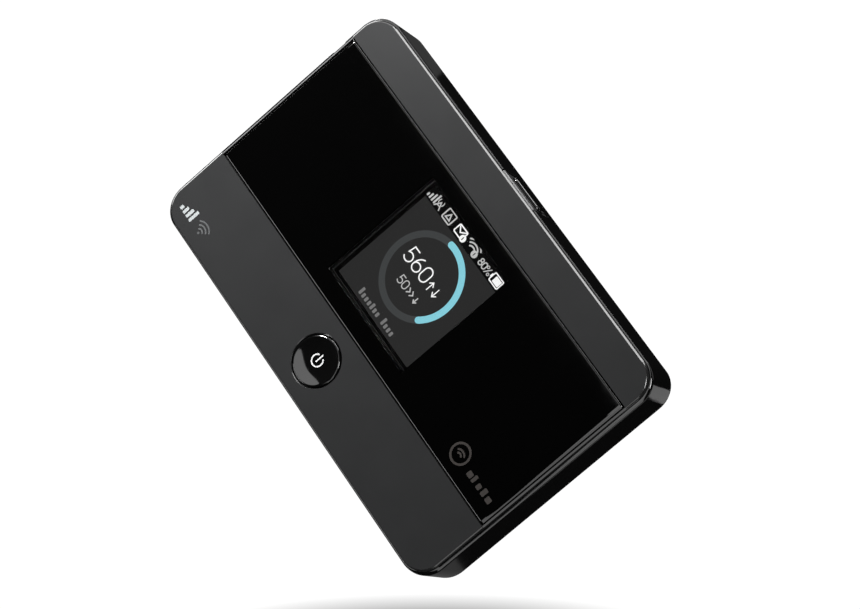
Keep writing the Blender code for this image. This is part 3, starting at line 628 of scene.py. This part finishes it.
def dish_z(radius):
    """Height of the power button's dished face."""
    return CAP_HIGH.z - CAP_DISH_DEPTH * (1 - (radius / CAP_RIM_R) ** CAP_DISH_POWER)


def power_cap():
    """The round button with its flange and stem, and the symbol in its dish."""
    dish = [(r, dish_z(r)) for r in [CAP_RIM_R * step / 16 for step in range(17)]]
    round_r = CAP_R - CAP_RIM_R
    edge = [(CAP_RIM_R + x, CAP_HIGH.z - round_r + z)
            for x, z in arc((0, 0), round_r, 85, 0, 6)]
    flange_r = CAP_HIGH.x
    flange_edge = 0.1
    foot_z, top_z = CAP_FLANGE_Z
    side = [(CAP_R, top_z), (flange_r - flange_edge, top_z), (flange_r, top_z - flange_edge),
            (flange_r, foot_z), (CAP_STEM_R, foot_z), (CAP_STEM_R, CAP_LOW.z), (0.0, CAP_LOW.z)]
    cap = piece_from(lathe(dish + edge + side, (0, POWER_Y)), "power_cap", KEY_GLOSS)
    smooth(cap, 40, weighted=False)
    install(cap, "power_button", "gloss_key", "power_button")

    symbol_r, width = 1.36, 0.3
    low_z, high_z = dish_z(0) - 0.03, dish_z(symbol_r) + 0.02
    bm = bmesh.new()
    x, y = -0.1, POWER_Y + 0.15
    stroke(bm, arc((x, y), symbol_r, 125, 415, 40), width, low_z, high_z)
    stroke(bm, [(x, y + 1.6), (x, y - 0.35)], width, low_z, high_z)
    symbol = piece_from(bm, "power_symbol", PRINT_SOFT)
    install(symbol, "power_button", "gloss_key")


def menu_key():
    """An oblong key with a rounded face, seen at the side wall."""
    inner_y, outer_y = KEY_FLANGE_Y

    def ring(inset, y):
        corner = max(KEY_CORNER - inset, 0.3)
        flat = rounded_ring(KEY_HALF[0] - inset, KEY_HALF[1] - inset, corner, corner, 0)
        return [(x, y, KEY_CENTRE_Z + z) for x, z, _ in flat]

    crown = [(KEY_CROWN - dx, KEY_HIGH.y - KEY_CROWN + dy)
             for dx, dy in arc((0, 0), KEY_CROWN, 0, 90, 6)]
    rings = [ring(0.0, inner_y)] + [ring(inset, y) for inset, y in crown]
    key = piece_from(swept(rings), "menu_key", KEY_GLOSS)
    flange = box_tool((KEY_LOW.x, inner_y, KEY_LOW.z), (KEY_HIGH.x, outer_y, KEY_HIGH.z), 0.3,
                      axis=1)
    stem = box_tool((-KEY_STEM_HALF, KEY_LOW.y, KEY_STEM_Z[0]),
                    (KEY_STEM_HALF, KEY_LOW.y + 0.5, KEY_STEM_Z[1]), 0.2, axis=1)
    unite(key, flange, stem)
    smooth(key, 40)
    install(key, "menu_button", "gloss_key", "menu_button")


# --- Screen ---------------------------------------------------------------------------

UI_LOW = SCREEN_Z + 0.02
UI_HIGH = SCREEN_Z + 0.04


def screen_mark(name, material, draw):
    """One mark on the lit screen. draw(line, fill) adds strokes and filled outlines."""
    bm = bmesh.new()

    def line(points, width, closed=False):
        stroke(bm, points, width, UI_LOW, UI_HIGH, closed)

    def fill(outline, lift=0.0):
        prism(bm, outline, UI_LOW + lift, UI_HIGH + lift)

    draw(line, fill)
    install(piece_from(bm, name, material), "casing", "screen")


def digit(line, glyph, left, foot, height, width, weight):
    """Draws 0, 5, 6 or 8 in thin strokes, in a cell of the given size."""
    def fit(points):
        return [(left + x * width, foot + y * height) for x, y in points]

    thin = weight * height
    if glyph == "0":
        loop = arc((0.5, 0.66), (0.42, 0.29), 0, 180, 14)
        loop += arc((0.5, 0.34), (0.42, 0.29), 180, 360, 14)
        line(fit(loop), thin, closed=True)
    elif glyph == "5":
        bowl = arc((0.46, 0.32), (0.44, 0.27), 118, -148, 22)
        line(fit([(0.86, 0.95), (0.24, 0.95), (0.15, 0.52)] + bowl[1:]), thin)
    elif glyph == "6":
        line(fit(disc((0.5, 0.31), (0.42, 0.26))), thin, closed=True)
        line(fit(arc((0.86, 0.33), (0.78, 0.63), 180, 108, 14)), thin)
    elif glyph == "8":
        line(fit(disc((0.5, 0.73), (0.34, 0.21))), thin, closed=True)
        line(fit(disc((0.5, 0.28), (0.42, 0.24))), thin, closed=True)


def number(line, text, left, foot, height, advance, weight):
    """Draws a row of digits, each one advance further on."""
    for place, glyph in enumerate(text):
        digit(line, glyph, left + place * advance, foot, height, advance * 0.92, weight)


def screen_backing():
    """The lit field, the dark status bar above it, and a glowing line just inside the screen's
    opening that is a painted highlight of its edge.
    """
    top = SCREEN_Y + LIT_HALF + 0.2
    low = SCREEN_Y - LIT_HALF - 0.3
    for name, material, foot, head in (("screen_field", LIT_GREY, low, STATUS_BAR_Y),
                                       ("screen_status_bar", LIT_BAR, STATUS_BAR_Y, top)):
        bm = bmesh.new()
        prism(bm, bar((-LIT_HALF, foot), (LIT_HALF, head), 0.05), SCREEN_Z, SCREEN_Z + 0.01)
        install(piece_from(bm, name, material), "casing", "screen")

    mask_z = BEZEL_HIGH.z + 0.01
    opening = SCREEN_OPENING / 2

    def frame_piece(name, material, outer, inner, low_z, high_z):
        """A flat frame round the screen, between two half sizes."""
        bm = bmesh.new()
        loops = [bar((-x, SCREEN_Y - y), (x, SCREEN_Y + y), 0.3) for x, y in (outer, inner)]
        band(bm, *loops, low_z, high_z)
        return piece_from(bm, name, material)

    mask = frame_piece("screen_mask", SCREEN_OFF, (opening.x + 0.2, opening.y + 0.2),
                       (LIT_HALF + 0.05, LIT_HALF + 0.2), mask_z, mask_z + 0.03)
    install(mask, "casing", "screen")
    # This glowing line is a painted highlight: it stands for light caught on the edge of the
    # screen's opening.
    glow = frame_piece("screen_edge_painted_highlight", EDGE_HIGHLIGHT_GLOW, (opening.x - 0.1, opening.y - 0.25),
                       (opening.x - 0.3, opening.y - 0.45), mask_z + 0.03, mask_z + 0.04)
    install(glow, "casing", "screen")


def gauge():
    """The data gauge: a grey ring, its bright share, and the numbers inside."""
    centre, radius, width = (0.0, SCREEN_Y), 9.2, 1.5
    screen_mark("gauge_ring", LIT_RING,
                lambda line, fill: line(disc(centre, radius, 96), width, closed=True))
    bm = bmesh.new()
    stroke(bm, arc(centre, radius, 97, -41, 60), width, UI_HIGH, UI_HIGH + 0.02)
    install(piece_from(bm, "gauge_arc", LIT_CYAN), "casing", "screen")

    def large(line, fill):
        number(line, "560", left=-6.7, foot=4.05, height=3.85, advance=2.85, weight=0.078)
        for x, turn in ((2.9, 1), (4.9, -1)):
            line([(x, 4.25), (x, 6.35)], 0.25)
            tip = 5.3 + 1.05 * turn
            line([(x - 0.62, tip - 0.7 * turn), (x, tip), (x + 0.62, tip - 0.7 * turn)], 0.25)

    def small(line, fill):
        number(line, "50", left=-3.4, foot=0.1, height=2.15, advance=1.62, weight=0.1)
        for x in (0.5, 1.6):
            line([(x - 0.25, 0.45), (x + 0.35, 1.05), (x - 0.25, 1.65)], 0.26)
        line([(3.2, 0.2), (3.2, 1.6)], 0.26)
        line([(2.75, 0.7), (3.2, 0.2), (3.65, 0.7)], 0.26)

    screen_mark("gauge_number", LIT_WHITE, large)
    screen_mark("rate_number", LIT_SOFT, small)


def caption():
    """A row of short bars stands where a name would be shown."""
    heights = (1.75, 1.1, 1.1, 1.1, 1.5, 1.1, 1.1, 0.0, 1.75, 1.1, 1.1, 1.1)
    start, foot, length = -6.9, -8.1, 13.0

    def draw(line, fill):
        pitch = length / len(heights)
        for place, height in enumerate(heights):
            if height:
                left = start + place * pitch
                fill(bar((left, foot), (left + pitch * 0.62, foot + height), 0.18))

    screen_mark("caption_bars", LIT_CAPTION, draw)


def status_icons():
    """The row of icons in the status bar, from signal to battery."""
    foot = 16.25

    def signal(line, fill):
        for step in range(4):
            left = -13.7 + step * 0.78
            fill(bar((left, foot), (left + 0.42, foot + 0.75 + 0.55 * step), 0.08))

    def mast(line, fill):
        x = -9.9
        line([(x - 0.85, foot), (x, foot + 1.5), (x + 0.85, foot)], 0.28)
        line([(x - 0.45, foot + 0.62), (x + 0.45, foot + 0.62)], 0.24)
        for side in (0, 180):
            line(arc((x, foot + 1.5), 0.75, side - 38, side + 38, 6), 0.22)

    def boxed(line, fill):
        line(bar((-7.65, foot - 0.15), (-4.95, foot + 2.4), 0.3), 0.32, closed=True)
        line([(-7.0, foot + 0.5), (-5.6, foot + 0.5), (-6.3, foot + 1.75)], 0.3, closed=True)

    def mail(line, fill):
        line(bar((-3.35, foot + 0.15), (-0.55, foot + 2.2), 0.25), 0.3, closed=True)
        line([(-3.0, foot + 1.9), (-1.95, foot + 1.0), (-0.9, foot + 1.9)], 0.3)
        fill(disc((-0.5, foot + 0.65), 0.82), lift=0.02)

    def wifi(line, fill):
        base = (2.6, foot + 0.1)
        for radius in (1.25, 2.0, 2.75):
            line(arc(base, radius, 45, 135, 14), 0.34)
        fill(disc((3.9, foot + 0.65), 0.82), lift=0.02)

    def charge(line, fill):
        number(line, "80", left=5.65, foot=foot + 0.15, height=1.65, advance=1.2, weight=0.15)
        line([(8.25, foot + 0.15), (9.25, foot + 1.75)], 0.22)
        for centre in ((8.25, foot + 1.5), (9.3, foot + 0.45)):
            line(disc(centre, 0.28, 14), 0.18, closed=True)

    def cell(line, fill):
        line(bar((10.25, foot + 0.05), (13.15, foot + 2.15), 0.2), 0.26, closed=True)
        fill(bar((11.0, foot + 0.35), (12.9, foot + 1.85), 0.1))
        fill(bar((9.85, foot + 0.65), (10.12, foot + 1.55), 0.08))

    for name, material, draw in (("status_signal", LIT_SOFT, signal),
                                 ("status_mast", LIT_SOFT, mast),
                                 ("status_box", LIT_SOFT, boxed),
                                 ("status_mail", LIT_WHITE, mail),
                                 ("status_wireless", LIT_SOFT, wifi),
                                 ("status_charge", LIT_SOFT, charge),
                                 ("status_battery", LIT_WHITE, cell)):
        screen_mark(name, material, draw)
    bm = bmesh.new()
    for x in (-0.5, 3.9):
        prism(bm, bar((x - 0.11, foot + 0.25), (x + 0.11, foot + 1.05), 0.05), UI_HIGH + 0.01,
              UI_HIGH + 0.03)
    install(piece_from(bm, "status_badge_marks", LIT_GREY), "casing", "screen")


# --- Printed marks on the casing ------------------------------------------------------

def printed(name, material, slot, z, draw):
    """A mark printed on the face at height z, sunk a little way into it."""
    bm = bmesh.new()
    low_z, high_z = z - 0.02, z + 0.006

    def line(points, width, closed=False):
        stroke(bm, points, width, low_z, high_z, closed)

    def fill(outline):
        prism(bm, outline, low_z, high_z)

    draw(line, fill)
    install(piece_from(bm, name, material), "casing", slot)


def casing_prints():
    """Generic marks: rising bars and waves on the lower band, waves on the window."""
    foot = -29.3

    def bars(line, fill):
        for step in range(4):
            left = -48.9 + step * 1.2
            fill(bar((left, foot), (left + 0.75, foot + 1.0 + 0.65 * step), 0.12))

    def waves(line, fill):
        base = (-41.2, foot + 0.2)
        for radius in (0.95, 1.8, 2.65):
            line(arc(base, radius, 45, 135, 16), 0.34)
        fill(disc(base, 0.28))

    def maker_mark(line, fill):
        x, y = 36.8, -9.4
        line(disc((x, y), 2.25, 40), 0.5, closed=True)
        for radius in (0.75, 1.5):
            line(arc((x, y - 0.8), radius, 45, 135, 14), 0.42)
        for place, wide in enumerate((1.4, 0.8, 1.1, 1.1, 1.4)):
            left = 40.9 + place * 1.7
            fill(bar((left, -10.9), (left + wide, -9.6 + 0.5 * (place % 2)), 0.25))

    printed("print_bars", PRINT_WHITE, "satin_shell", FACE_Z, bars)
    printed("print_waves", PRINT_GREY, "satin_shell", FACE_Z, waves)
    printed("print_window_mark", PRINT_DIM, "window_gloss", GLASS_HIGH.z, maker_mark)


# --- Inside ---------------------------------------------------------------------------

def battery_label():
    """A pale label under the battery with generic marks only."""
    z = PACK_LOW.z
    middle = (PACK_LOW.x + PACK_HIGH.x) / 2
    bm = bmesh.new()
    prism(bm, bar((PACK_LOW.x + 4, PACK_LOW.y + 3), (PACK_HIGH.x - 4, PACK_HIGH.y - 3), 1.5),
          z - 0.04, z + 0.02)
    install(piece_from(bm, "battery_label", LABEL), "battery", "battery_wrap")

    bm = bmesh.new()
    low_z, high_z = z - 0.06, z - 0.02
    pole_x, pole_y, arm, width = PACK_LOW.x + 9, 12, 3, 1.1
    stroke(bm, [(pole_x, pole_y - arm), (pole_x, pole_y + arm)], width, low_z, high_z)
    for y in (pole_y, -pole_y):
        stroke(bm, [(pole_x - arm, y), (pole_x + arm, y)], width, low_z, high_z)
    stroke(bm, bar((middle - 6, -6), (middle + 10, 6), 1.2), 0.8, low_z, high_z, closed=True)
    for step in range(4):
        left = middle - 4 + 3.4 * step
        prism(bm, bar((left, -3.8), (left + 2.2, 3.8), 0.4), low_z, high_z)
    install(piece_from(bm, "battery_label_marks", LABEL_INK), "battery", "battery_wrap")


CAD_FINISHES = {
    "mid_frame": FRAME, "window_adhesive": ADHESIVE, "display_bezel": STEEL,
    "display_panel": SCREEN_OFF, "display_backlight": WHITE_PLASTIC, "display_gasket": FOAM,
    "display_flex": POLYIMIDE, "display_connector": WHITE_PLASTIC, "main_board": LAMINATE,
    "power_switch": STEEL, "menu_switch": STEEL, "reset_switch": STEEL,
    "power_switch_plunger": WHITE_PLASTIC, "menu_switch_plunger": WHITE_PLASTIC,
    "reset_button": WHITE_PLASTIC, "micro_usb_tongue": BLACK_PLASTIC,
    "battery_connector": BLACK_PLASTIC, "battery_pack": WRAP, "battery_end_cap": BLACK_PLASTIC,
}
CAD_FAMILIES = (("shield_can", STEEL), ("socket", STEEL), ("usb_shell", STEEL),
                ("battery_contact", GOLD), ("antenna", COPPER), ("case_screw", SCREW_STEEL))


def finish_cad_nodes():
    """Gives the CAD nodes that no piece replaces their materials."""
    for name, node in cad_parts.items():
        material = CAD_FINISHES.get(name)
        for part, family in CAD_FAMILIES:
            if material is None and part in name:
                material = family
        if material is not None:
            node.data.materials.clear()
            node.data.materials.append(material)


# --- Floor, light and camera ----------------------------------------------------------

# In metres, as are the places and sizes of the lights and the camera.
FLOOR_Z = -0.75
# Place, reach and turn of the soft shadow painted into the floor's glow.
PAINTED_SHADOW_PLACE = (-0.1904, -0.2673)
PAINTED_SHADOW_REACH = (0.126, 0.0175)
PAINTED_SHADOW_TURN = math.radians(52.3)


def pale(name, glow, color):
    """A near-white stage material: mostly its own light, so that it stays even."""
    material = bpy.data.materials.new(name)
    material.use_nodes = True
    shader = material.node_tree.nodes["Principled BSDF"]
    shader.inputs["Base Color"].default_value = (color, color, color, 1)
    shader.inputs["Roughness"].default_value = 1.0
    shader.inputs["Specular IOR Level"].default_value = 0.0
    shader.inputs["Emission Color"].default_value = (1, 1, 1, 1)
    shader.inputs["Emission Strength"].default_value = glow
    return material


def paint_floor_shadow(material):
    """A soft shadow painted into the floor's glow, far below the object."""
    tree = material.node_tree
    place = tree.nodes.new("ShaderNodeTexCoord")
    mapping = tree.nodes.new("ShaderNodeMapping")
    mapping.vector_type = "TEXTURE"
    mapping.inputs["Location"].default_value = (*PAINTED_SHADOW_PLACE, 0.0)
    mapping.inputs["Rotation"].default_value = (0.0, 0.0, PAINTED_SHADOW_TURN)
    mapping.inputs["Scale"].default_value = (*PAINTED_SHADOW_REACH, 1.0)
    painted_shadow_falloff = tree.nodes.new("ShaderNodeTexGradient")
    painted_shadow_falloff.gradient_type = "SPHERICAL"
    ramp = tree.nodes.new("ShaderNodeValToRGB")
    ramp.color_ramp.elements[0].color = (1, 1, 1, 1)
    ramp.color_ramp.elements[1].color = (0.02, 0.02, 0.02, 1)
    ramp.color_ramp.elements[1].position = 0.85
    tree.links.new(place.outputs["Object"], mapping.inputs["Vector"])
    tree.links.new(mapping.outputs["Vector"], painted_shadow_falloff.inputs["Vector"])
    tree.links.new(painted_shadow_falloff.outputs["Fac"], ramp.inputs["Fac"])
    shader = tree.nodes["Principled BSDF"]
    tree.links.new(ramp.outputs["Color"], shader.inputs["Emission Color"])


def stage_set():
    """A pale floor well below the object, with a painted shadow, in a pale dome. Neither shows
    in the gloss.
    """
    bpy.ops.mesh.primitive_uv_sphere_add(radius=3.0, segments=48, ring_count=24)
    dome = bpy.context.object
    dome.name = "stage_dome"
    dome.data.materials.append(pale("stage_dome", 0.995, 0.0))
    bpy.ops.mesh.primitive_circle_add(radius=2.8, vertices=64, fill_type="NGON",
                                      location=(0, 0, FLOOR_Z))
    floor = bpy.context.object
    floor.name = "stage_floor"
    floor.data.materials.append(pale("stage_floor", 0.965, 0.03))
    # The floor's glow is darkened in a soft patch: a painted shadow.
    paint_floor_shadow(floor.data.materials[0])
    for item in (dome, floor):
        item.visible_glossy = False
        item.visible_transmission = False
    world = bpy.data.worlds.new("studio")
    world.use_nodes = True
    world.node_tree.nodes["Background"].inputs["Color"].default_value = (0.005, 0.005, 0.005, 1)
    bpy.context.scene.world = world


def softbox(name, place, size, radiance, aim=(0.0, 0.0, 0.01), turn=0.0):
    """An area light at a place in metres, facing its aim, as bright as radiance says."""
    lamp = bpy.data.lights.new(name, "AREA")
    lamp.shape = "RECTANGLE"
    lamp.size, lamp.size_y = size
    lamp.energy = radiance * math.pi * size[0] * size[1]
    box = bpy.data.objects.new(name, lamp)
    bpy.context.scene.collection.objects.link(box)
    box.location = place
    facing = (Vector(aim) - Vector(place)).to_track_quat("-Z", "Y").to_matrix().to_4x4()
    box.rotation_euler = (facing @ Matrix.Rotation(turn, 4, "Z")).to_euler()
    box.visible_camera = False


def flat_card(name, centre, size, radiance, turn=0.0, up=True):
    """A level area light that shines straight up or down, turned about Z."""
    aim = Vector(centre) + Vector((0, 0, 1 if up else -1))
    softbox(name, centre, size, radiance, aim, turn)


def studio_light():
    """The lamps and cards. Glossy parts show them as mirrored shapes."""
    # Two level boxes overhead. Their straight lower edges stay just clear of what the flat
    # window mirrors, and draw the light lines on its edges and the button's crescent.
    flat_card("overhead_box", (-0.41, 0.01, 0.8), (0.82, 0.26), 2.8, turn=-0.02, up=False)
    flat_card("overhead_side_box", (0.36, -0.04, 0.8), (0.72, 0.26), 2.6, turn=-0.2, up=False)
    softbox("side_box_high_x", (0.56, -0.14, 0.3), (0.3, 0.4), 2.2)
    # A small, strong lamp near the -X, +Y corner makes the satin face brighter towards it.
    flat_card("corner_panel", (-0.21, 0.055, 0.17), (0.08, 0.06), 520.0, up=False)
    softbox("side_box_high_y", (-0.26, 0.62, 0.15), (0.44, 0.26), 13.0)
    softbox("side_box_low_x", (-0.52, 0.34, 0.17), (0.55, 0.2), 5.0)
    flat_card("overhead_low_box", (0.4, -0.33, 0.8), (0.6, 0.14), 2.2, up=False)
    softbox("side_box_low_y", (-0.28, -0.56, 0.34), (0.4, 0.2), 7.0)
    softbox("corner_spark", (0.3, 0.3, 0.42), (0.18, 0.18), 24.0)
    # Cards below the object. In the photo's view its walls and rim mirror the first four, and
    # the last three light it when it is seen from below.
    flat_card("corner_card", (0.11, 0.066, -0.3), (0.06, 0.102), 0.53, turn=0.38)
    flat_card("low_card", (0.045, -0.16, -0.3), (0.2, 0.105), 0.11)
    flat_card("wall_card", (-0.2, 0.076, -0.3), (0.022, 0.06), 0.07)
    softbox("rim_card", (-0.6, -0.1, -0.2), (0.5, 0.4), 6.0)
    for name, x, y in (("under_card_high_x", 0.6, 0.1), ("under_card_high_y", 0.1, 0.6),
                       ("under_card_low_y", -0.1, -0.6)):
        softbox(name, (x, y, -0.26), (0.5, 0.2), 1.3)


# Solved from the outline, the seams and the lower edge of the photographed object.
CAMERA_PLACE = (0.23949, 0.12790, 0.55640)
CAMERA_FORWARD = (-0.38631, -0.20665, -0.89892)
CAMERA_UP = (-0.75108, 0.63618, 0.17652)
CAMERA_LENS = 121.2


def add_camera():
    """The photograph's camera, shown without any tone curve."""
    forward, up = Vector(CAMERA_FORWARD).normalized(), Vector(CAMERA_UP)
    right = forward.cross(up).normalized()
    up = right.cross(forward)
    turned = Matrix((right, up, -forward)).transposed().to_4x4()
    lens = bpy.data.cameras.new("camera")
    lens.lens = CAMERA_LENS
    lens.sensor_width = 36.0
    lens.clip_start = 0.01
    camera = bpy.data.objects.new("camera", lens)
    camera.matrix_world = Matrix.Translation(CAMERA_PLACE) @ turned
    bpy.context.scene.collection.objects.link(camera)
    bpy.context.scene.camera = camera
    bpy.context.scene.view_settings.view_transform = "Standard"


# --- Build ----------------------------------------------------------------------------

back_shell()
front_lid()
window()
power_cap()
menu_key()
screen_backing()
gauge()
caption()
status_icons()
casing_prints()
battery_label()
finish_cad_nodes()
stage_set()
studio_light()
add_camera()
